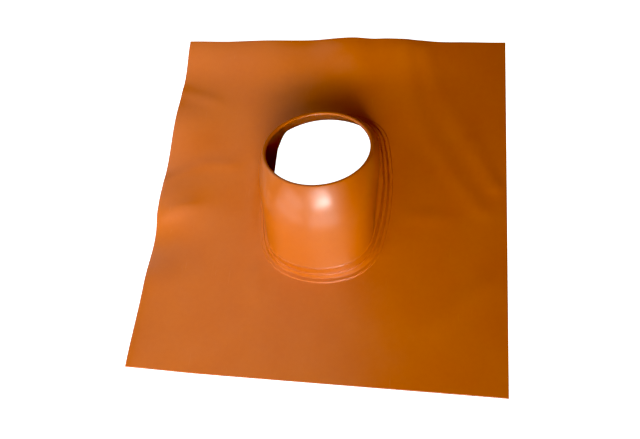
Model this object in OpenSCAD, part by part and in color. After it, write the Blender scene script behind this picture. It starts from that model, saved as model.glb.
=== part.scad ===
// Ventilation roof tile: a thin formed plate with a stepped base and a leaning spout for a vent pipe.
// +Z is up from the face that lies on the roof, +Y is up the slope, and the plate is centred on Z.

/* [Apron] */
// Distance from the spout's centre line to the right edge
apron_right = 240; // [200:1:320]
// Distance from the spout's centre line to the left edge
apron_left = 235; // [200:1:320]
// Distance from the base's widest line to the edge up the slope
apron_up = 244.5; // [200:1:320]
// Distance from the base's widest line to the edge down the slope
apron_down = 255.5; // [200:1:320]
// Thickness of the formed sheet
sheet_t = 1.6; // [1.2:0.1:2.4]

/* [Base outline] */
// Half the width of the base, at the outside of its rim
base_half_width = 90; // [80:0.1:110]
// From the base's widest line to its end down the slope
base_down = 127.9; // [115:0.1:155]
// From the base's widest line to its end up the slope
base_up = 124.7; // [115:0.1:150]
// Radius of the outline's long sides
base_side_r = 341; // [280:1:450]
// Radius of the two rounded corners down the slope
corner_r_down = 65; // [45:0.1:75]
// Radius of the two rounded corners up the slope
corner_r_up = 49.5; // [40:0.1:75]
// Radius of the end down the slope
end_r_down = 113.6; // [100:0.1:150]
// Radius of the end up the slope
end_r_up = 130; // [100:0.1:150]

/* [Steps] */
// Height of the rim above the sheet
rim_h = 2; // [1:0.5:4]
// Width of the rim at the sides, from its outside to the first riser
rim_w = 3.6; // [3:0.1:8]
// Width of the rim at the end down the slope
rim_w_down = 5; // [3:0.1:8]
// Width of the rim at the end up the slope
rim_w_up = 6; // [3:0.1:8]
// Height of the tread above the sheet
tread_h = 10.3; // [6:0.1:16]
// Run of the riser up to the tread
riser_run = 2.8; // [1:0.1:4]
// Width of the tread at the sides
tread_w = 3.1; // [1.2:0.1:6]
// Width of the tread at the end down the slope
tread_w_down = 1.4; // [1.2:0.1:6]
// Width of the tread at the end up the slope
tread_w_up = 4; // [1.2:0.1:6]
// Height of the shelf at the spout's foot above the sheet
shelf_h = 26; // [20:0.5:32]
// Run of the riser up to the shelf, at the sides
shelf_run = 1.8; // [0.8:0.1:4]
// Run of the riser up to the shelf, at the end down the slope
shelf_run_down = 1; // [0.8:0.1:4]
// Run of the riser up to the shelf, at the end up the slope
shelf_run_up = 2.5; // [0.8:0.1:4]

/* [Spout] */
// Diameter of the mouth, which is the pipe's diameter plus its clearance
mouth_d = 131; // [100:1:134]
// Height of the mouth's centre above the sheet
mouth_h = 95.4; // [80:0.1:130]
// Distance of the mouth's centre up the slope from the base's widest line
mouth_y = 20.9; // [5:0.1:30]
// Tilt of the mouth up the slope, in degrees
mouth_tilt = 20.7; // [10:0.1:30]
// Radius of the lip, which rolls from inside the mouth over to the wall
lip_roll_r = 3; // [2.5:0.5:8]
// How far the spout's front swells out where its curve runs into the straight wall
swell = 5.8; // [0:0.1:8]
// Share of the wall's length, from the shoulder, that is curved
swell_end = 0.42; // [0.3:0.01:0.7]
// Half the width of the spout's foot, where its sides stand upright
foot_half_width = 71.2; // [66:0.1:76]
// From the base's widest line to the spout's foot, up the slope
foot_up = 101.3; // [90:0.1:112]
// Radius of the foot's two corners up the slope
foot_corner_r = 25.6; // [15:0.1:50]
// Radius of the foot's end up the slope
foot_end_r = 106.6; // [90:0.1:140]
// Radius of the hollow corner at the spout's foot
foot_fillet = 3; // [1:0.5:5]

/* [Waves] */
// Height of the left edge's waves, where 1 is as drawn
left_wave_scale = 1; // [0:0.1:1.5]
// Height of the upper edge's waves, where 1 is as drawn
top_wave_scale = 1; // [0:0.1:1.5]

/* [Hidden] */

// Points round each ring, a multiple of 8 so that the apron's corners are points
ring_n = 96;
// How far the rolled lip reaches inside the mouth before it is bored true
mouth_trim = 0.3;
mouth_r = mouth_d / 2;
// Radius of the lip's crest
lip_r = mouth_r + lip_roll_r - mouth_trim;
// Small radius that breaks each step's outer edge
edge_r = 1;
// The spout's sides are so nearly straight that their arc is this large
foot_side_r = 5000;
// Share of the front's swelling that the sides have
swell_sides = 0.8;
// Width that the shelf keeps round the spout
shelf_min_w = 0.6;
// Small number that keeps a division away from zero
tiny = 0.001;

// Offsets of the steps from the rim's outside, each as [at the sides, down the slope, up the slope]
all_round = [1, 1, 1];
riser1_foot = [rim_w, rim_w_down, rim_w_up];
riser1_top = riser1_foot + riser_run * all_round;
riser2_foot = riser1_top + [tread_w, tread_w_down, tread_w_up];
riser2_top = riser2_foot + [shelf_run, shelf_run_down, shelf_run_up];
shelf_start = riser2_top + edge_r * all_round;

// Where the waves have died out, short of the base
wave_gap = 12;
left_reach = apron_left - base_half_width - wave_gap;
top_reach = apron_up - base_up - wave_gap;

// Crests and troughs along the left edge: distance up the slope, height
left_wave = [[-260, 14.6], [-145, 8], [-80, 0], [-23, 10.6],
             [33, 5.4], [103, 9.9], [179, 2.6], [245, 10.6]];
// Crests and troughs along the upper edge: distance to the right, height
top_wave = [[-235, 9.5], [-200, 7.7], [-112, 11.2], [-52, 10.1], [19, 16.3],
            [54, 12.5], [66, 13], [165, 2.2], [240, 0]];
// Soft folds in the sheet: start, end, half width, height
folds = [[[-84, -118], [-80, -150], 12, 1.3],
         [[98, 235], [118, 120], 17, 1.6], [[118, 120], [166, 38], 16, 1.6], [[166, 38], [206, -20], 14, 1.5],
         [[124, 232], [146, 160], 17, 1.5], [[146, 160], [190, 84], 17, 1.4], [[190, 84], [226, 14], 13, 2.2],
         [[-234, 158], [-178, 142], 14, 1.2], [[-232, 6], [-200, 30], 10, 1.5],
         [[-186, 38], [-140, 40], 14, 0.9], [[-233, -46], [-190, -28], 15, 1.6],
         [[146, -178], [214, -118], 16, 1]];

// Smooth step from 0 to 1
function ease(s) = (1 - cos(180 * min(1, max(0, s)))) / 2;

// Height of a wave at a place, eased between its crests and troughs
function wave_at(w, p, i = 0) =
    p <= w[0][0] ? w[0][1] :
    i >= len(w) - 1 ? w[len(w) - 1][1] :
    p < w[i + 1][0] ? w[i][1] + (w[i + 1][1] - w[i][1]) * ease((p - w[i][0]) / (w[i + 1][0] - w[i][0])) :
    wave_at(w, p, i + 1);

// Height of one fold at a place: full along its line, none past its half width
function fold_at(f, p) =
    let (d = f[1] - f[0], s = min(1, max(0, (p - f[0]) * d / (d * d))), r = norm(p - f[0] - s * d) / f[2])
    r < 1 ? f[3] * pow(1 - r * r, 2) : 0;

// Height of the sheet's underside at a place
function sheet_z(p) =
    let (
        at_left = pow(1 - ease((p[0] + apron_left) / left_reach), 2),
        at_top = pow(1 - ease((apron_up - p[1]) / top_reach), 2),
        left_z = left_wave_scale * wave_at(left_wave, p[1]),
        top_z = top_wave_scale * wave_at(top_wave, p[0])
    )
    left_z * at_left + top_z * at_top * (1 - at_left) + max([for (f = folds) fold_at(f, p)]);

// An oval is drawn with arcs: [half width, half length, side radius, corner radius, end radius]
oval_down = [base_half_width, base_down, base_side_r, corner_r_down, end_r_down];
oval_up = [base_half_width, base_up, base_side_r, corner_r_up, end_r_up];
foot_oval = [foot_half_width, foot_up, foot_side_r, foot_corner_r, foot_end_r];

// Centres of an oval's side, corner and end arcs in its first quarter
function arc_centres(o) =
    let (
        side = [o[0] - o[2], 0],
        end = [0, o[1] - o[4]],
        d = end - side,
        from_side = o[2] - o[3],
        from_end = o[4] - o[3],
        along = (from_side * from_side - from_end * from_end + d * d) / (2 * norm(d)),
        across = sqrt(from_side * from_side - along * along)
    )
    [side, side + (along * d + across * [-d[1], d[0]]) / norm(d), end];

// Distance from the middle, along a direction, to the far side of a circle
function to_circle(dir, c, r) = let (m = dir * c) m + sqrt(m * m - c * c + r * r);

// Distance from the middle to an oval along a direction, with the oval moved inwards by an offset
function oval_reach(o, dir, off) =
    let (
        c = arc_centres(o),
        q = [abs(dir[0]), abs(dir[1])],
        corner_r = o[3] - off,
        side_joint = c[1] + corner_r * (c[1] - c[0]) / norm(c[1] - c[0]),
        end_joint = c[1] + corner_r * (c[1] - c[2]) / norm(c[1] - c[2]),
        on_side = q[1] * side_joint[0] < q[0] * side_joint[1],
        on_corner = q[1] * end_joint[0] < q[0] * end_joint[1],
        k = on_side ? 0 : on_corner ? 1 : 2
    )
    to_circle(q, c[k], o[2 + k] - off);

// Direction out from the middle of the base at an angle, spread evenly round its outline
function base_dir(a) = let (d = [base_half_width * cos(a), base_down * sin(a)]) d / norm(d);

// Offset at an angle, from [at the sides, down the slope, up the slope]
function offset_at(a, o) = o[0] + ((sin(a) < 0 ? o[1] : o[2]) - o[0]) * pow(sin(a), 2);

// Point of the base's outline at an angle, moved inwards by an offset
function base_point(a, off) = let (d = base_dir(a)) oval_reach(sin(a) < 0 ? oval_down : oval_up, d, off) * d;

// Point of the spout's foot at an angle, moved inwards by a wall. It never leaves the shelf.
function foot_point(a, wall) =
    let (
        d = base_dir(a),
        down = sin(a) < 0,
        shelf = oval_reach(down ? oval_down : oval_up, d, offset_at(a, shelf_start) + shelf_min_w + wall),
        foot = down ? (foot_half_width - wall) / max(abs(d[0]), tiny) : oval_reach(foot_oval, d, wall)
    )
    min(shelf, foot) * d;

// Axes of the mouth: out along its bore, and across it up the slope
mouth_out = [0, sin(mouth_tilt), cos(mouth_tilt)];
mouth_across = [0, cos(mouth_tilt), -sin(mouth_tilt)];
mouth_centre = [0, mouth_y, sheet_t + mouth_h];

// Point round the mouth at an angle, a radius and a depth below the lip
function mouth_point(a, r, depth) =
    mouth_centre + r * (cos(a) * [1, 0, 0] + sin(a) * mouth_across) - depth * mouth_out;

// How far the wall stands out from a straight line where its curve ends
function swell_top(a) = swell * (swell_sides - (1 - swell_sides) * sin(a));

// Angle that the top of the wall flares by from the mouth's bore. The swelling adds its own slope there.
function flare(a) =
    let (
        f = foot_point(a, 0),
        d = [f[0], f[1], sheet_t + shelf_h] - mouth_point(a, lip_r + lip_roll_r, lip_roll_r),
        radial = cos(a) * [1, 0, 0] + sin(a) * mouth_across,
        slope = swell_top(a) * (2 / swell_end - 1) / (1 - swell_end) / norm(d)
    )
    atan2(d * radial, -(d * mouth_out)) + atan(slope);

// Point of the rolled lip, where the turn is 0 at the crest and negative inside the mouth
function lip_point(a, turn, wall) =
    let (r = lip_roll_r - wall) mouth_point(a, lip_r + r * sin(turn), wall + r * (1 - cos(turn)));

// Point of the lip outside its crest, where s runs from the crest to the wall
function shoulder_point(a, s, wall) = lip_point(a, s * (90 - flare(a)), wall);

// How far the wall stands out from a straight line: an even curve to swell_end, then straight to the foot
function swell_height(a, s) =
    swell_top(a) * (1 - s - pow(max(0, 1 - s / swell_end), 2)) / (1 - swell_end);

// Point of the wall, where s runs from the shoulder to the foot
function wall_point(a, s, wall) =
    let (
        top = shoulder_point(a, 1, wall),
        f = foot_point(a, wall),
        bottom = [f[0], f[1], sheet_t + shelf_h - wall],
        down = (bottom - top) / norm(bottom - top),
        d = [base_dir(a)[0], base_dir(a)[1], 0],
        out = d - (d * down) * down
    )
    top + s * (bottom - top) + swell_height(a, s) * out / norm(out);

// Point of the hollow corner between the wall and the shelf, where s runs down and out
function fillet_point(a, s) =
    let (
        foot = wall_point(a, 1, 0),
        up = wall_point(a, 0, 0) - foot,
        e = base_point(a, offset_at(a, shelf_start)),
        out = [e[0], e[1], foot[2]] - foot,
        r = min(foot_fillet, norm(out) / 2),
        start = foot + up / norm(up) * r,
        end = foot + out / norm(out) * r
    )
    (1 - s) * (1 - s) * start + 2 * s * (1 - s) * foot + s * s * end;

// Point of the step at an angle, from a row of the profiles below
function step_point(a, row) = let (p = base_point(a, offset_at(a, row[0]))) [p[0], p[1], row[1]];

// Point of the apron, where s runs from the rim to the edge, at a height above the underside
function apron_point(i, s, lift) =
    let (
        a = 360 * i / ring_n,
        square = max(abs(cos(a)), abs(sin(a))),
        c = cos(a) / square,
        n = sin(a) / square,
        edge = [c * (c > 0 ? apron_right : apron_left), n * (n > 0 ? apron_up : apron_down)],
        p = (1 - s) * base_point(a, -edge_r) + s * edge
    )
    [p[0], p[1], sheet_z(p) + lift];

// The steps' profile on top: offset from the rim's outside, height above the underside
rim_z = sheet_t + rim_h;
tread_z = sheet_t + tread_h;
shelf_z = sheet_t + shelf_h;
tread = riser2_foot - riser1_top;
step_top = [
    [shelf_start, shelf_z],
    [riser2_top, shelf_z - edge_r / 3],
    [riser2_top - edge_r / 3 * all_round, shelf_z - edge_r],
    [riser2_foot, tread_z + edge_r / 2],
    [riser2_foot - tread / 4, tread_z],
    [riser1_top + tread / 3, tread_z],
    [riser1_top, tread_z - edge_r / 3],
    [riser1_top - edge_r / 3 * all_round, tread_z - edge_r],
    [riser1_foot, rim_z + edge_r / 2],
    [riser1_foot - edge_r / 2 * all_round, rim_z - edge_r / 4],
    [edge_r * 1.5 * all_round, rim_z],
    [edge_r / 2 * all_round, sheet_t + 0.7 * rim_h],
    [0 * all_round, sheet_t + 0.3 * rim_h]
];
// The same steps inside, one thickness in and down
step_under = [
    [0 * all_round, 0],
    [(edge_r * 1.5 + sheet_t) * all_round, rim_h],
    [riser1_foot + sheet_t * all_round, rim_h],
    [riser1_top + sheet_t * all_round, tread_h],
    [riser2_foot + sheet_t * all_round, tread_h],
    [riser2_top + sheet_t * all_round, shelf_h]
];

lip_turns = [-90, -60, -30];
shoulder_steps = 4;
wall_steps = [0.1, 0.2, 0.3, 0.42, 0.92];
apron_steps = [0, 0.1, 0.22, 0.36, 0.5, 0.64, 0.77, 0.89, 1];
ring_angles = [for (i = [0:ring_n - 1]) 360 * i / ring_n];

// Every ring in turn: out over the top, round the apron's edge and back underneath
rings = concat(
    [for (turn = lip_turns) [for (a = ring_angles) lip_point(a, turn, 0)]],
    [for (k = [0:shoulder_steps]) [for (a = ring_angles) shoulder_point(a, k / shoulder_steps, 0)]],
    [for (s = wall_steps) [for (a = ring_angles) wall_point(a, s, 0)]],
    [for (s = [0:0.5:1]) [for (a = ring_angles) fillet_point(a, s)]],
    [for (row = step_top) [for (a = ring_angles) step_point(a, row)]],
    [for (s = apron_steps) [for (i = [0:ring_n - 1]) apron_point(i, s, sheet_t)]],
    [for (k = [len(apron_steps) - 1:-1:0]) [for (i = [0:ring_n - 1]) apron_point(i, apron_steps[k], 0)]],
    [for (row = step_under) [for (a = ring_angles) step_point(a, row)]],
    [[for (a = ring_angles) wall_point(a, 1, sheet_t)]],
    [for (k = [len(wall_steps) - 2:-1:0]) [for (a = ring_angles) wall_point(a, wall_steps[k], sheet_t)]],
    [for (k = [shoulder_steps:-1:0]) [for (a = ring_angles) shoulder_point(a, k / shoulder_steps, sheet_t)]],
    [for (k = [len(lip_turns) - 1:-1:0]) [for (a = ring_angles) lip_point(a, lip_turns[k], sheet_t)]]
);

// A closed skin through rings that follow each other round
module skin(loops) {
    m = len(loops);
    n = len(loops[0]);
    points = [for (loop = loops) each loop];
    faces = [for (j = [0:m - 1], i = [0:n - 1])
        let (k = (j + 1) % m, l = (i + 1) % n, a = j * n + i, b = j * n + l, c = k * n + l, d = k * n + i)
        each [[a, b, c], [a, c, d]]];
    polyhedron(points, faces);
}

// The whole plate, with its mouth bored true
module vent_tile() {
    color([0.80, 0.40, 0.16])
    translate([(apron_left - apron_right) / 2, (apron_down - apron_up) / 2, 0])
    difference() {
        skin(rings);
        translate(mouth_centre) rotate([-mouth_tilt, 0, 0]) rotate(180 / ring_n)
            cylinder(r = mouth_r, h = 4 * lip_roll_r, center = true, $fn = ring_n);
    }
}

vent_tile();
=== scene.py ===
# %% [markdown]
# # A ventilation roof tile
# The object is one thin plastic plate. A roofer lays it among the tiles, and a vent pipe passes
# through its leaning spout. The plate was formed from a single sheet, so the scene shows one piece:
# a square apron with soft waves, a base with two steps, and a leaning spout with a rolled lip.
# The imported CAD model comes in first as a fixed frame. It gives the size that the finer model keeps.

# %% Load the frame
import bpy, bmesh, math
from mathutils import Matrix, Vector


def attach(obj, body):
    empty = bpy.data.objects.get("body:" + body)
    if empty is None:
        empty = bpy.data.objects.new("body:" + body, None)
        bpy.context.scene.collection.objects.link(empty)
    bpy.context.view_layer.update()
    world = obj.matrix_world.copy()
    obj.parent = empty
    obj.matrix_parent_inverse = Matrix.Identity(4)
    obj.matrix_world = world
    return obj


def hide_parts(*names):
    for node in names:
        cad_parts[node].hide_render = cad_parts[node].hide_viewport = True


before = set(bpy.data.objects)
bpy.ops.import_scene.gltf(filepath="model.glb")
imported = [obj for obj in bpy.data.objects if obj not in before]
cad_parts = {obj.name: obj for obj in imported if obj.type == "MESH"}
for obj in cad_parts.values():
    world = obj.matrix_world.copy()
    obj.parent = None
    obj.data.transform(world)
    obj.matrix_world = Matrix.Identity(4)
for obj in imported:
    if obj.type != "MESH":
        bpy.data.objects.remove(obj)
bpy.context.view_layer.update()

MM = 0.001

# %% [markdown]
# ## Sizes
# The sizes are the ones that the CAD source uses, in millimetres, so that both models agree. Two
# things are finer here. The spout's wall swells a little further than in the CAD and in a longer
# curve, because its shine sits there on the real plate. The steps' walls are thinner than the sheet,
# because the mould stretches the warm sheet over them. The base's middle is a little off the plate's
# middle, since the apron is wider on one side, so the finished mesh is moved by half of each
# difference at the end.

# %% The plate's sizes
# The apron's edges from the base's middle, then the sheet, whole and drawn thin over a step
RIGHT, LEFT, UP, DOWN = 240, 235, 244.5, 255.5
SHEET, DRAWN = 1.6, 0.9

# The base: half its width, its reach down and up the slope, and the radii of its outline's arcs
HALF_WIDTH, BASE_DOWN, BASE_UP = 90, 127.9, 124.7
SIDE_R, CORNER_DOWN_R, CORNER_UP_R, END_DOWN_R, END_UP_R = 341, 65, 49.5, 113.6, 130
RIM_H, TREAD_H, SHELF_H = 2, 10.3, 26
EDGE_R = 1

# The mouth: radius, height, place up the slope and lean, then the lip that rolls out of it
MOUTH_R, MOUTH_H, MOUTH_Y, MOUTH_TILT = 65.5, 95.4, 20.9, math.radians(20.7)
LIP_ROLL_R, MOUTH_TRIM = 3, 0.3

# The wall's swelling: how far out, where it is fullest, and its share at the sides
SWELL, SWELL_END, SWELL_SIDES = 8.2, 0.52, 0.58

# The spout's foot: half its width, its reach, its arcs, and the shelf that always stays round it
FOOT_HALF_WIDTH, FOOT_UP, FOOT_SIDE_R, FOOT_CORNER_R, FOOT_END_R = 71.2, 101.3, 5000, 25.6, 106.6
SHELF_KEEPS = 0.6

# Each step's offset inwards from the rim: at the sides, down the slope, up the slope
ALL = Vector((1, 1, 1))
RISER_1_FOOT = Vector((3.6, 5, 6))
RISER_1_TOP = RISER_1_FOOT + 2.8 * ALL
RISER_2_FOOT = RISER_1_TOP + Vector((3.1, 1.4, 4))
RISER_2_TOP = RISER_2_FOOT + Vector((1.8, 1, 2.5))
SHELF_START = RISER_2_TOP + EDGE_R * ALL

MIDDLE = Vector(((LEFT - RIGHT) / 2, (DOWN - UP) / 2, 0))
print("apron in mm:", LEFT + RIGHT, "x", UP + DOWN)

# %% [markdown]
# ## The apron's waves
# A thin sheet that has been rolled up and stacked never lies quite flat. Its left and upper edges
# stand off the floor in long waves, and a few soft creases run across it. A wave is a short list of
# crests and troughs with an eased curve between them, which is how such a sheet bends. The waves
# die away before they reach the stiff base.

# %% Waves along two edges
# Each wave: place along the edge, height
LEFT_WAVE = [(-260, 14.6), (-145, 8), (-80, 0), (-23, 10.6), (33, 5.4), (103, 9.9), (179, 2.6), (245, 10.6)]
TOP_WAVE = [(-235, 9.5), (-200, 7.7), (-112, 11.2), (-52, 10.1), (19, 16.3), (54, 12.5), (66, 13),
            (165, 2.2), (240, 0)]
WAVE_GAP = 12


def ease(s):
    """A smooth step from 0 to 1."""
    return (1 - math.cos(math.pi * min(1, max(0, s)))) / 2


def wave_at(wave, place):
    for (p, low), (q, high) in zip(wave, wave[1:]):
        if place < q:
            return low + (high - low) * ease((place - p) / (q - p))
    return wave[-1][1]


print("highest wave in mm:", max(h for p, h in LEFT_WAVE + TOP_WAVE))

# %% Creases and dents
# Each crease or dent: start, end, half width, height
FOLDS = [
    ((-101, 40), (-101, -62), 10, 0.6), ((-84, -118), (-80, -150), 12, 1.3),
    ((98, 235), (118, 120), 17, 1.6), ((118, 120), (166, 38), 16, 1.6), ((166, 38), (206, -20), 14, 1.5),
    ((124, 232), (146, 160), 17, 1.5), ((146, 160), (190, 84), 17, 1.4), ((190, 84), (226, 14), 13, 2.2),
    ((-234, 158), (-178, 142), 14, 1.2), ((-232, 6), (-200, 30), 10, 1.0), ((-186, 38), (-140, 40), 14, 0.9),
    ((-233, -46), (-190, -28), 15, 1.6), ((146, -178), (214, -118), 16, 1.0),
    ((120, -30), (150, -32), 20, 0.9)]


def fold_at(fold, x, y):
    (ax, ay), (bx, by), half, height = fold
    dx, dy = bx - ax, by - ay
    s = min(1, max(0, ((x - ax) * dx + (y - ay) * dy) / (dx * dx + dy * dy)))
    r = math.hypot(x - ax - s * dx, y - ay - s * dy) / half
    return height * (1 - r * r) ** 2 if r < 1 else 0


def sheet_z(x, y):
    """The sheet's height off the floor. Folds that meet share their height and don't add up."""
    at_left = (1 - ease((x + LEFT) / (LEFT - HALF_WIDTH - WAVE_GAP))) ** 2
    at_top = (1 - ease((UP - y) / (UP - BASE_UP - WAVE_GAP))) ** 2
    waves = wave_at(LEFT_WAVE, y) * at_left + wave_at(TOP_WAVE, x) * at_top * (1 - at_left)
    return waves + max(fold_at(f, x, y) for f in FOLDS)


print("folds:", len(FOLDS), "- height at the upper left corner in mm:", round(sheet_z(-LEFT, UP), 1))

# %% [markdown]
# ## The base's outline
# The base is an oval drawn with arcs, as a toolmaker would: a long side arc, a corner arc and an
# end arc that run into each other. A step is the same oval moved inwards. Each point is found along
# a direction from the middle, so that the rings of all the steps line up with each other.

# %% Ovals
OVAL_DOWN = (HALF_WIDTH, BASE_DOWN, SIDE_R, CORNER_DOWN_R, END_DOWN_R)
OVAL_UP = (HALF_WIDTH, BASE_UP, SIDE_R, CORNER_UP_R, END_UP_R)
OVAL_FOOT = (FOOT_HALF_WIDTH, FOOT_UP, FOOT_SIDE_R, FOOT_CORNER_R, FOOT_END_R)


def arc_centres(oval):
    """The middles of the side, corner and end arcs. The corner arc touches both its neighbours."""
    half_width, half_length, side_r, corner_r, end_r = oval
    side, end = Vector((half_width - side_r, 0)), Vector((0, half_length - end_r))
    line = end - side
    from_side, from_end = side_r - corner_r, end_r - corner_r
    along = (from_side ** 2 - from_end ** 2 + line.length_squared) / (2 * line.length)
    across = math.sqrt(from_side ** 2 - along ** 2)
    corner = side + (along * line + across * Vector((-line.y, line.x))) / line.length
    return side, corner, end


def oval_reach(oval, way, inwards):
    """How far it is from the base's middle to the oval, moved inwards, along a way."""
    side, corner, end = arc_centres(oval)
    way = Vector((abs(way.x), abs(way.y)))
    corner_r = oval[3] - inwards
    side_joint = corner + corner_r * (corner - side).normalized()
    end_joint = corner + corner_r * (corner - end).normalized()
    if way.y * side_joint.x < way.x * side_joint.y:
        centre, r = side, oval[2] - inwards
    elif way.y * end_joint.x < way.x * end_joint.y:
        centre, r = corner, corner_r
    else:
        centre, r = end, oval[4] - inwards
    middle = way.dot(centre)
    return middle + math.sqrt(middle ** 2 - centre.length_squared + r * r)


print("middles of the side, corner and end arcs in mm:",
      [tuple(round(x, 1) for x in middle) for middle in arc_centres(OVAL_DOWN)])

# %% Points on the base and on the spout's foot
def base_way(a):
    return Vector((HALF_WIDTH * math.cos(a), BASE_DOWN * math.sin(a))).normalized()


def offset_at(a, offset):
    """A step's offset, which changes evenly from the sides to the ends."""
    end = offset[1] if math.sin(a) < 0 else offset[2]
    return offset[0] + (end - offset[0]) * math.sin(a) ** 2


def base_point(a, inwards):
    return oval_reach(OVAL_DOWN if math.sin(a) < 0 else OVAL_UP, base_way(a), inwards) * base_way(a)


def foot_point(a, wall):
    """The spout's foot: straight sides down the slope, an oval up it, and never off the shelf."""
    way, down = base_way(a), math.sin(a) < -1e-9
    inwards = offset_at(a, SHELF_START) + SHELF_KEEPS + wall
    shelf = oval_reach(OVAL_DOWN if down else OVAL_UP, way, inwards)
    if down:
        foot = (FOOT_HALF_WIDTH - wall) / max(abs(way.x), 1e-3)
    else:
        foot = oval_reach(OVAL_FOOT, way, wall)
    return min(shelf, foot) * way


print("base in mm:", 2 * HALF_WIDTH, "x", round(BASE_UP + BASE_DOWN, 1))

# %% [markdown]
# ## The spout
# The mouth is a true circle that leans up the slope. Its edge rolls over a small lip into the wall.
# The wall swells out below the lip and then runs down to the shelf with a small hollow corner. A
# loft between two curves could make a straight wall, but the swelling needs a height of its own at
# each place, so a few small functions say where each point of the spout is.

# %% The mouth and its lip
OUT = Vector((0, math.sin(MOUTH_TILT), math.cos(MOUTH_TILT)))
ACROSS = Vector((0, math.cos(MOUTH_TILT), -math.sin(MOUTH_TILT)))
MOUTH = Vector((0, MOUTH_Y, SHEET + MOUTH_H))
LIP_R = MOUTH_R + LIP_ROLL_R - MOUTH_TRIM


def radial(a):
    """The way outwards in the mouth's own plane."""
    return math.cos(a) * Vector((1, 0, 0)) + math.sin(a) * ACROSS


def mouth_point(a, r, depth):
    return MOUTH + r * radial(a) - depth * OUT


def lip_point(a, turn, wall):
    r = LIP_ROLL_R - wall
    return mouth_point(a, LIP_R + r * math.sin(turn), wall + r * (1 - math.cos(turn)))


print("spout's top in mm:", round(mouth_point(-math.pi / 2, LIP_R, 0).z, 1))

# %% The shoulder and the wall
def wall_foot(a, wall):
    return foot_point(a, wall).to_3d() + Vector((0, 0, SHEET + SHELF_H - wall))


def swell_top(a):
    return SWELL * (SWELL_SIDES - (1 - SWELL_SIDES) * math.sin(a))


def swell_height(a, s):
    return swell_top(a) * (1 - s - max(0, 1 - s / SWELL_END) ** 2) / (1 - SWELL_END)


def flare(a):
    """How far the wall's top leans away from the mouth's axis, so that the lip runs into it."""
    drop = wall_foot(a, 0) - mouth_point(a, LIP_R + LIP_ROLL_R, LIP_ROLL_R)
    slope = swell_top(a) * (2 / SWELL_END - 1) / (1 - SWELL_END) / drop.length
    return math.atan2(drop.dot(radial(a)), -drop.dot(OUT)) + math.atan(slope)


def shoulder_point(a, s, wall):
    return lip_point(a, s * (math.pi / 2 - flare(a)), wall)


def wall_point(a, s, wall):
    top, foot = shoulder_point(a, 1, wall), wall_foot(a, wall)
    down = (foot - top).normalized()
    out = base_way(a).to_3d()
    out = (out - out.dot(down) * down).normalized()
    return top.lerp(foot, s) + swell_height(a, s) * out


front = -math.pi / 2
print("wall's length in front in mm:", round((wall_foot(front, 0) - shoulder_point(front, 1, 0)).length))

# %% [markdown]
# ## Rounded steps
# A formed sheet has no sharp step. Each corner of the steps' profile is rounded with its own small
# arc, and those arcs are what catches the light as thin bright lines. A bevel could round the whole
# mesh's corners, but its width would be the same everywhere. So the profile is first a list of
# corners, each with its own radius, and then `rounded` puts an arc in each corner.

# %% Round the corners of a profile
ARC_POINTS = 6
ROOM = 0.48


def rounded(corners):
    """Each corner is a point and a radius. An arc takes at most ROOM of a side; the ends stay."""
    line = [corners[0][0]]
    for (before, _), (here, radius), (after, _) in zip(corners, corners[1:], corners[2:]):
        back, on = before - here, after - here
        half = back.angle(on) / 2
        reach = min(radius / math.tan(half), ROOM * min(back.length, on.length))
        start, end = here + back.normalized() * reach, here + on.normalized() * reach
        r = reach * math.tan(half)
        centre = here + (back.normalized() + on.normalized()).normalized() * r / math.sin(half)
        for k in range(ARC_POINTS):
            s = k / (ARC_POINTS - 1)
            v = (start - centre).lerp(end - centre, s)
            line.append(centre + v.normalized() * r)
    line.append(corners[-1][0])
    return line


corner = rounded([(Vector((0, 0, 0)), 0), (Vector((10, 0, 0)), 2), (Vector((10, 10, 0)), 0)])
print("a 2 mm corner starts", round(10 - corner[1].x, 1), "mm early and has", ARC_POINTS, "points")

# %% The steps from above and from below
LOW_ON_WALL = 0.9
RIM_REACH = 2.2 * EDGE_R


def at(a, offset, height):
    p = base_point(a, offset_at(a, offset))
    return Vector((p.x, p.y, height))


def apron_start(a, height):
    return base_point(a, -RIM_REACH).to_3d() + Vector((0, 0, height))


def top_profile(a):
    """From the wall, over the shelf and the steps, out to the apron. A corner: place, radius."""
    return rounded([
        (wall_point(a, LOW_ON_WALL, 0), 0),
        (wall_foot(a, 0), 3.0),                                      # hollow corner at the spout's foot
        (at(a, RISER_2_TOP + 0.4 * ALL, SHEET + SHELF_H), 1.1),      # the shelf's edge
        (at(a, RISER_2_FOOT, SHEET + TREAD_H), 0.6),
        (at(a, RISER_1_TOP, SHEET + TREAD_H), 1.0),                  # the tread's edge
        (at(a, RISER_1_FOOT, SHEET + RIM_H), 0.7),
        (at(a, 0.3 * ALL, SHEET + RIM_H), 0.9),                      # the rim bead
        (at(a, -0.5 * ALL, SHEET + 0.05), 0.7),
        (apron_start(a, SHEET), 0)])


def under_profile(a):
    """The same steps from below, from the apron in to the wall, with the sheet drawn thin."""
    tread, shelf = TREAD_H + SHEET - DRAWN, SHELF_H
    return rounded([
        (apron_start(a, 0), 0),
        (at(a, 0.6 * ALL, 0), 1.0),
        (at(a, 1.9 * ALL, RIM_H), 0.5),                              # inside the rim bead
        (at(a, RISER_1_FOOT + DRAWN * ALL, RIM_H), 1.2),
        (at(a, RISER_1_TOP + DRAWN * ALL, tread), 0.5),              # inside the tread's edge
        (at(a, RISER_2_FOOT + DRAWN * ALL, tread), 1.2),
        (at(a, RISER_2_TOP + DRAWN * ALL, shelf), 0.5),              # inside the shelf's edge
        (wall_foot(a, SHEET), 0.8),
        (wall_point(a, LOW_ON_WALL, SHEET), 0)])


print("points in one profile:", len(top_profile(0)))

# %% [markdown]
# ## Growing the skin
# The plate is not a turned shape, so a spin cannot make it. It is grown instead: a circle at the
# mouth is extruded ring by ring, and each new ring is moved to its place. The skin runs out over
# the top, round the apron's edge and back underneath, and a bridge closes it at the mouth.

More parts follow.
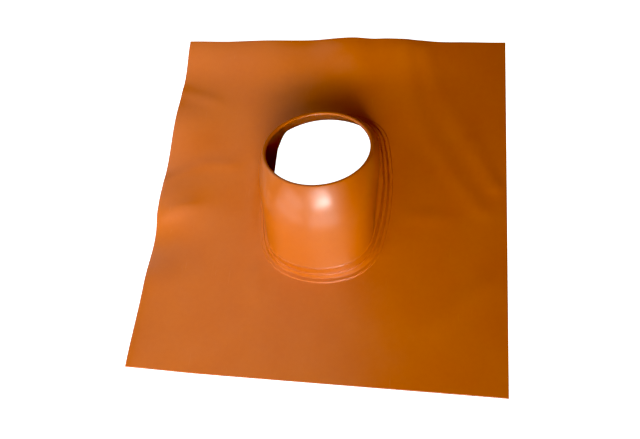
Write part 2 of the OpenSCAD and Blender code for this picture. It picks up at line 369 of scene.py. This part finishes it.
# %% How finely the skin is divided
RING = 256
ANGLES = [2 * math.pi * i / RING for i in range(RING)]
LIP_STEPS, SHOULDER_STEPS = 6, 8
WALL_STEPS = [0.03, 0.06, 0.1, 0.14, 0.18, 0.22, 0.26, 0.3, 0.34, 0.38, 0.42, 0.5, 0.6, 0.7, 0.8]
APRON_STEPS = [0.02, 0.05, 0.09, 0.14, 0.19, 0.25, 0.31, 0.37, 0.43, 0.49, 0.55, 0.61, 0.67, 0.73, 0.79,
               0.85, 0.9, 0.94, 0.97, 0.988]
print("points in a ring:", RING, "- rings on the wall:", len(WALL_STEPS), "- on the apron:", len(APRON_STEPS))

# %% The apron's rings
CUT_R = 0.35
APRON_WIDTH = 130


def apron_point(a, s, lift):
    """From the rim (s = 0) straight out to the cut edge (s = 1), on the waves."""
    square = max(abs(math.cos(a)), abs(math.sin(a)))
    c, n = math.cos(a) / square, math.sin(a) / square
    edge = Vector((c * (RIGHT if c > 0 else LEFT), n * (UP if n > 0 else DOWN)))
    p = base_point(a, -RIM_REACH).lerp(edge, s)
    return Vector((p.x, p.y, sheet_z(p.x, p.y) + lift))


def around(point, *place):
    """One ring: the same place on the profile, all the way round."""
    return [point(a, *place) for a in ANGLES]


def apron_rings():
    """Out over the top, round the cut edge with its broken corners, and back underneath."""
    last = 1 - CUT_R / APRON_WIDTH
    cut = ((last, SHEET), (1, SHEET - CUT_R), (1, CUT_R), (last, 0))
    rings = [around(apron_point, s, SHEET) for s in APRON_STEPS]
    rings += [around(apron_point, s, lift) for s, lift in cut]
    return rings + [around(apron_point, s, 0) for s in reversed(APRON_STEPS)]


print("apron rings:", len(apron_rings()))

# %% Every ring in order
QUARTER = math.pi / 2


def profile_rings(profile):
    return [list(ring) for ring in zip(*(profile(a) for a in ANGLES))]


def all_rings():
    """Every ring after the first, from the mouth's edge round to its underside."""
    bored = -math.asin((LIP_R - MOUTH_R) / LIP_ROLL_R)
    shoulder = [k / SHOULDER_STEPS for k in range(SHOULDER_STEPS + 1)]
    rings = [around(lip_point, bored * (1 - k / LIP_STEPS), 0) for k in range(LIP_STEPS)]
    rings += [around(shoulder_point, s, 0) for s in shoulder]
    rings += [around(wall_point, s, 0) for s in WALL_STEPS]
    rings += profile_rings(top_profile) + apron_rings() + profile_rings(under_profile)
    rings += [around(wall_point, s, SHEET) for s in reversed(WALL_STEPS)]
    rings += [around(shoulder_point, s, SHEET) for s in reversed(shoulder)]
    rings += [around(lip_point, -QUARTER * k / LIP_STEPS, SHEET) for k in range(1, LIP_STEPS + 1)]
    return rings + [around(mouth_point, MOUTH_R + CUT_R, LIP_ROLL_R)]


rings = all_rings()
print("rings:", len(rings))

# %% Extrude one ring
def ring_edges(bm, ring):
    return [bm.edges.get((v, ring[(i + 1) % RING])) for i, v in enumerate(ring)]


def grow(bm, ring, places):
    """Extrudes the open edge and moves each new point to its place."""
    made = bmesh.ops.extrude_edge_only(bm, edges=ring_edges(bm, ring))["geom"]
    fresh = {v for v in made if isinstance(v, bmesh.types.BMVert)}
    new = [next(e.other_vert(v) for e in v.link_edges if e.other_vert(v) in fresh) for v in ring]
    for v, place in zip(new, places):
        v.co = place
    return new


print("one ring adds", RING, "faces")

# %% Grow the plate from a circle
TURN = 2 * math.pi - 1e-6
bm = bmesh.new()
circle = bmesh.ops.create_circle(bm, cap_ends=False, segments=RING, radius=MOUTH_R)["verts"]
first = sorted(circle, key=lambda v: math.atan2(v.co.y, v.co.x) % TURN)
for v, a in zip(first, ANGLES):
    v.co = mouth_point(a, MOUTH_R, LIP_ROLL_R - CUT_R)
ring = first
for places in rings:
    ring = grow(bm, ring, places)
bmesh.ops.bridge_loops(bm, edges=ring_edges(bm, ring) + ring_edges(bm, first))
bmesh.ops.translate(bm, verts=bm.verts, vec=MIDDLE)
bmesh.ops.scale(bm, verts=bm.verts, vec=(MM, MM, MM))
bmesh.ops.recalc_face_normals(bm, faces=bm.faces)
for face in bm.faces:
    face.smooth = True
bm.normal_update()
print("plate:", len(bm.faces), "faces, open edges:", sum(len(e.link_faces) != 2 for e in bm.edges),
      "volume in mm3:", round(bm.calc_volume() / MM ** 3))

# %% [markdown]
# ## Where hands and pallets rub
# Wear starts at the places that stick out. The bend across each point's own edges shows how sharp
# the plate is there, so the mesh can carry its own map of wear as an attribute. A bend outwards of a
# millimetre's radius counts as fully exposed, and hollow corners count as nothing.

# %% Mark the exposed edges
SHORTEST = 0.1 * MM
exposed = bm.verts.layers.float.new("exposed")
for v in bm.verts:
    edges = [e for e in v.link_edges if e.calc_length() > SHORTEST]
    bends = [e.calc_face_angle_signed(0) / e.calc_length() for e in edges]
    v[exposed] = min(1, max(0, max(bends, default=0) * MM))
print("exposed points:", sum(v[exposed] > 0.5 for v in bm.verts), "of", len(bm.verts))

# %% [markdown]
# ## Put the plate in the scene
# The mesh becomes an object at the origin. It rides on the frame's one body and stands for the CAD
# node, which stays hidden for the physics.

# %% The plate's object
mesh = bpy.data.meshes.new("plate")
bm.to_mesh(mesh)
bm.free()
plate = bpy.data.objects.new("plate", mesh)
bpy.context.scene.collection.objects.link(plate)
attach(plate, "root")
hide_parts("vent_tile")
print("plate stands for vent_tile:", len(mesh.vertices), "points,", len(mesh.polygons), "faces")

# %% [markdown]
# ## Shared effects
# Four small node groups hold the effects of the skin, and each gives only a value or a normal. Soft
# cloudiness comes from pigment that is not quite evenly stirred in. The grain is the mould's fine
# texture. Scuffs are long and thin, and dust settles where the sheet faces up. All of them read the
# object's own coordinates in metres, so a noise scale of 1000 makes features of about a millimetre.
# A material could hold all of this by itself, but as groups the effects can be used again.

# %% Helpers for nodes
VECTOR, VALUE = "NodeSocketVector", "NodeSocketFloat"


def new_group(name, inputs, outputs):
    group = bpy.data.node_groups.new(name, "ShaderNodeTree")
    for label, kind in inputs:
        group.interface.new_socket(name=label, in_out="INPUT", socket_type=kind)
    for label, kind in outputs:
        group.interface.new_socket(name=label, in_out="OUTPUT", socket_type=kind)
    return group, group.nodes.new("NodeGroupInput"), group.nodes.new("NodeGroupOutput")


def noise(group, vector, scale, detail, roughness=0.5):
    node = group.nodes.new("ShaderNodeTexNoise")
    node.inputs["Scale"].default_value = scale
    node.inputs["Detail"].default_value = detail
    node.inputs["Roughness"].default_value = roughness
    group.links.new(vector, node.inputs["Vector"])
    return node.outputs[0]


def remap(group, value, from_low, from_high, to_low=0.0, to_high=1.0):
    """Stretches a value from one range to another, and cuts off what lies outside."""
    node = group.nodes.new("ShaderNodeMapRange")
    labels = ("From Min", "From Max", "To Min", "To Max")
    for label, number in zip(labels, (from_low, from_high, to_low, to_high)):
        node.inputs[label].default_value = number
    group.links.new(value, node.inputs["Value"])
    return node.outputs["Result"]


def math_node(group, operation, first, second):
    """One sum. Each of its two values is a number or another node's output."""
    node = group.nodes.new("ShaderNodeMath")
    node.operation = operation
    for socket, value in zip(node.inputs, (first, second)):
        if isinstance(value, (int, float)):
            socket.default_value = value
        else:
            group.links.new(value, socket)
    return node.outputs[0]


def times(group, first, second):
    return math_node(group, "MULTIPLY", first, second)


def plus(group, first, second):
    return math_node(group, "ADD", first, second)


print("sockets are made as:", VECTOR, "and", VALUE)

# %% Pigment mottle
mottle, g_in, g_out = new_group("pigment_mottle", [("Position", VECTOR)], [("Mask", VALUE)])
broad = noise(mottle, g_in.outputs["Position"], scale=14, detail=2)
fine = noise(mottle, g_in.outputs["Position"], scale=160, detail=3, roughness=0.6)
both = plus(mottle, times(mottle, broad, 0.65), times(mottle, fine, 0.35))
mottle.links.new(remap(mottle, both, 0.36, 0.64), g_out.inputs["Mask"])
print(mottle.name, "has", len(mottle.nodes), "nodes")

# %% Mould grain
GRAIN_DEPTH = 0.012 * MM
grain, g_in, g_out = new_group("mould_grain", [("Position", VECTOR), ("Strength", VALUE)],
                               [("Normal", VECTOR)])
pores = noise(grain, g_in.outputs["Position"], scale=1400, detail=2)
ripple = noise(grain, g_in.outputs["Position"], scale=260, detail=2)
bump = grain.nodes.new("ShaderNodeBump")
bump.inputs["Distance"].default_value = GRAIN_DEPTH
grain.links.new(plus(grain, pores, times(grain, ripple, 1.5)), bump.inputs["Height"])
grain.links.new(g_in.outputs["Strength"], bump.inputs["Strength"])
grain.links.new(bump.outputs["Normal"], g_out.inputs["Normal"])
print(grain.name, "is", GRAIN_DEPTH / MM, "mm deep at full strength")

# %% Scuffs
scuffs, g_in, g_out = new_group("scuffs", [("Position", VECTOR), ("Exposed", VALUE)], [("Mask", VALUE)])
stretch = scuffs.nodes.new("ShaderNodeMapping")
stretch.inputs["Rotation"].default_value = (0, 0, 0.6)
stretch.inputs["Scale"].default_value = (1, 0.07, 1)
scuffs.links.new(g_in.outputs["Position"], stretch.inputs["Vector"])
streaks = noise(scuffs, stretch.outputs["Vector"], scale=420, detail=2, roughness=0.6)
lines = remap(scuffs, streaks, 0.64, 0.74)
patches = remap(scuffs, noise(scuffs, g_in.outputs["Position"], scale=22, detail=1), 0.52, 0.66)
worn = noise(scuffs, g_in.outputs["Position"], scale=40, detail=3, roughness=0.6)
rubbed = remap(scuffs, worn, 0.4, 0.75)
on_sheet = times(scuffs, lines, patches)
on_edges = times(scuffs, rubbed, g_in.outputs["Exposed"])
scuffs.links.new(math_node(scuffs, "MAXIMUM", on_sheet, on_edges), g_out.inputs["Mask"])
print(scuffs.name, "has", len(scuffs.nodes), "nodes")

# %% Settled dust
dust, g_in, g_out = new_group("settled_dust", [("Position", VECTOR), ("Facing up", VALUE)],
                              [("Mask", VALUE)])
drifts = noise(dust, g_in.outputs["Position"], scale=30, detail=5, roughness=0.65)
clouds = remap(dust, drifts, 0.42, 0.72)
specks = remap(dust, noise(dust, g_in.outputs["Position"], scale=900, detail=1), 0.74, 0.8)
settled = plus(dust, times(dust, clouds, 0.5), specks)
dust.links.new(times(dust, settled, g_in.outputs["Facing up"]), g_out.inputs["Mask"])
print("node groups:", [g.name for g in bpy.data.node_groups])

# %% [markdown]
# ## Terracotta plastic
# Roof plastic is coloured right through with an orange pigment and cools against a smooth mould, so
# its skin is a satin that mirrors large lights softly. One roughness gives either a haze or a crisp
# shine, and this skin has both: the base is hazy, and a thinner, smoother coat lies over it. The
# colour stays within a few hundredths of one tone. Scuffs and rubbed edges turn paler and rougher,
# and settled dust dulls the shine a little.

# %% What the material reads
mat = bpy.data.materials.new("clay_red_plastic")
mat.use_nodes = True
tree = mat.node_tree
bsdf = tree.nodes["Principled BSDF"]
position = tree.nodes.new("ShaderNodeTexCoord").outputs["Object"]
geometry = tree.nodes.new("ShaderNodeNewGeometry")
up = tree.nodes.new("ShaderNodeSeparateXYZ")
tree.links.new(geometry.outputs["Normal"], up.inputs["Vector"])
exposed_edges = tree.nodes.new("ShaderNodeAttribute")
exposed_edges.attribute_name = "exposed"
facing_up = math_node(tree, "MAXIMUM", up.outputs["Z"], 0.0)
print("reads:", position.name, "coordinates, the normal and the attribute", exposed_edges.attribute_name)

# %% Placing a group and blending two colours
def use_group(group, **values):
    node = tree.nodes.new("ShaderNodeGroup")
    node.node_tree = group
    for label, value in values.items():
        socket = node.inputs[label.replace("_", " ")]
        if isinstance(value, (int, float)):
            socket.default_value = value
        else:
            tree.links.new(value, socket)
    return node.outputs[0]


def blend(mask, share, first, second):
    """The first colour, and a share of the second where the mask is white."""
    node = tree.nodes.new("ShaderNodeMix")
    node.data_type = "RGBA"
    tree.links.new(times(tree, mask, share), node.inputs["Factor"])
    for socket, value in ((node.inputs[6], first), (node.inputs[7], second)):
        if isinstance(value, tuple):
            socket.default_value = value
        else:
            tree.links.new(value, socket)
    return node.outputs[2]


mottle_mask = use_group(mottle, Position=position)
scuff_mask = use_group(scuffs, Position=position, Exposed=exposed_edges.outputs["Fac"])
dust_mask = use_group(dust, Position=position, Facing_up=facing_up)
print("masks:", mottle.name + ",", scuffs.name + ",", dust.name)

# %% The plastic's colour and shine
DARK_CLAY, LIGHT_CLAY = (0.535, 0.117, 0.003, 1), (0.567, 0.131, 0.004, 1)
SCUFFED, DUSTY = (0.70, 0.30, 0.12, 1), (0.66, 0.50, 0.38, 1)
colour = blend(mottle_mask, 1.0, DARK_CLAY, LIGHT_CLAY)
colour = blend(scuff_mask, 0.12, colour, SCUFFED)
colour = blend(dust_mask, 0.025, colour, DUSTY)
tree.links.new(colour, bsdf.inputs["Base Color"])
haze = plus(tree, remap(tree, mottle_mask, 0, 1, 0.4, 0.46), times(tree, scuff_mask, 0.06))
haze = plus(tree, haze, times(tree, dust_mask, 0.05))
tree.links.new(haze, bsdf.inputs["Roughness"])
tree.links.new(use_group(grain, Position=position, Strength=0.35), bsdf.inputs["Normal"])
bsdf.inputs["IOR"].default_value = 1.5
bsdf.inputs["Coat Weight"].default_value = 0.5
bsdf.inputs["Coat Roughness"].default_value = 0.21
mesh.materials.append(mat)
print("materials on the plate:", [m.name for m in plate.data.materials])

# %% [markdown]
# ## Floor
# A studio floor of white paper under strong light turns plain white, and hardly any shadow is left
# on it. More light would do that, but it would also wash out the plate. The floor is therefore a
# pale grey matt surface that also glows, for the camera only. The plate gets just the light that the
# grey floor throws back.

# %% A pale floor
FLOOR_HALF, FLOOR_GAP = 6, 0.0002
FLOOR_GREY, FLOOR_GLOW = (0.4, 0.4, 0.4, 1), 1.3
bm = bmesh.new()
bmesh.ops.create_grid(bm, x_segments=1, y_segments=1, size=FLOOR_HALF)
floor_mesh = bpy.data.meshes.new("floor")
bm.to_mesh(floor_mesh)
bm.free()
floor = bpy.data.objects.new("floor", floor_mesh)
floor.location.z = -FLOOR_GAP
bpy.context.scene.collection.objects.link(floor)
print("floor:", 2 * FLOOR_HALF, "m wide,", FLOOR_GAP / MM, "mm under the plate")

# %% The floor's paint and glow
white = bpy.data.materials.new("pale_floor")
white.use_nodes = True
tree = white.node_tree
paint = tree.nodes["Principled BSDF"]
paint.inputs["Base Color"].default_value = FLOOR_GREY
paint.inputs["Roughness"].default_value = 0.9
glow = tree.nodes.new("ShaderNodeEmission")
path = tree.nodes.new("ShaderNodeLightPath")
seen_glow = remap(tree, path.outputs["Is Camera Ray"], 0, 1, 0.0, FLOOR_GLOW)
tree.links.new(seen_glow, glow.inputs["Strength"])
add = tree.nodes.new("ShaderNodeAddShader")
tree.links.new(paint.outputs[0], add.inputs[0])
tree.links.new(glow.outputs[0], add.inputs[1])
tree.links.new(add.outputs[0], tree.nodes["Material Output"].inputs["Surface"])
floor_mesh.materials.append(white)
print("floor's material:", white.name, "with", len(tree.nodes), "nodes")

# %% [markdown]
# ## Lights
# Two long soft lights high in front make the main shine on the spout. A honeycomb grid narrows their
# beams, and they aim past the plate's left side, so the right side gets a little less. Low panels in
# front fill the steps and the lower wall. A panel and four small near lights on the left, above and
# behind keep that side of the sheet bright, as a white wall close by would. A sun or a bright sky
# would be simpler, but neither could leave the shadow behind the spout soft and the mouth's inside
# dark.

# %% A nearly dark room
ROOM_LIGHT = 0.002
world = bpy.data.worlds.new("studio")
bpy.context.scene.world = world
world.use_nodes = True
world.node_tree.nodes["Background"].inputs["Color"].default_value = (1, 1, 1, 1)
world.node_tree.nodes["Background"].inputs["Strength"].default_value = ROOM_LIGHT
print("light from all sides:", ROOM_LIGHT)

# %% Soft lights
def softbox(name, azimuth, elevation, distance, width, height, watts, aim_x=0.0, grid=180):
    """A soft light. Azimuth 0 is down the slope, and 90 to the right. A grid narrows its beam.

    It looks at a point on the floor that is aim_x metres to the right of the plate's middle."""
    az, el = math.radians(azimuth), math.radians(elevation)
    out = Vector((math.sin(az) * math.cos(el), -math.cos(az) * math.cos(el), math.sin(el)))
    data = bpy.data.lights.new(name, "AREA")
    data.shape, data.size, data.size_y, data.energy = "RECTANGLE", width, height, watts
    data.spread = math.radians(grid)
    light = bpy.data.objects.new(name, data)
    light.location = out * distance
    look = out * distance - Vector((aim_x, 0, 0))
    light.rotation_euler = look.to_track_quat("Z", "Y").to_euler()
    bpy.context.scene.collection.objects.link(light)


# Name, azimuth, elevation, distance, width, height, watts
softbox("key", 3, 35, 4.0, 2.3, 0.8, 20.4, aim_x=-1.2, grid=56)
softbox("high_front", -4, 46, 4.0, 2.4, 0.56, 6.3, aim_x=-1.2, grid=56)
softbox("left_panel", -40, 30, 2.0, 1.1, 0.46, 3.5)
softbox("low_front", 8, 8, 3.0, 2.2, 1.2, 25)
softbox("low_left", -42, 8, 3.0, 2.4, 0.64, 11)
softbox("near_left_front", -45, 28, 0.75, 0.45, 0.3, 0.5)
softbox("near_left", -100, 28, 0.6, 0.4, 0.3, 0.4)
softbox("over_left", -80, 70, 0.6, 0.45, 0.4, 0.4)
softbox("back_left", -135, 40, 0.6, 0.4, 0.3, 0.25)
print("lights in watts:", {light.name: round(light.energy, 2) for light in bpy.data.lights})

# %% [markdown]
# ## Camera
# The camera looks down at the plate's front from a little to its right. A camera this close makes
# the far edge clearly shorter than the near one. Its place and its two directions were worked out
# from how the square plate's four corners look from there. The tones are shown plainly, and only
# the darkest ones are deepened, which gives the mouth's inside a firm black.

# %% The camera
camera_data = bpy.data.cameras.new("camera")
camera_data.sensor_width = 36
camera_data.lens = 35.743
camera = bpy.data.objects.new("camera", camera_data)
ahead = Vector((-0.16662, 0.349688, -0.921931)).normalized()
above = Vector((-0.036286, 0.932193, 0.360138))
above = (above - ahead * above.dot(ahead)).normalized()
turn = Matrix((ahead.cross(above), above, -ahead)).transposed()
camera.matrix_world = Matrix.Translation((0.13573, -0.33495, 0.7944)) @ turn.to_4x4()
bpy.context.scene.collection.objects.link(camera)
bpy.context.scene.camera = camera
print("camera's distance from the plate's middle in m:", round(camera.matrix_world.translation.length, 3))

# %% Tone
BLACK = 0.016
view = bpy.context.scene.view_settings
view.view_transform = "Standard"
view.use_curve_mapping = True
view.curve_mapping.black_level = (BLACK, BLACK, BLACK)
view.curve_mapping.update()
print("view:", view.view_transform, "with black at", BLACK)
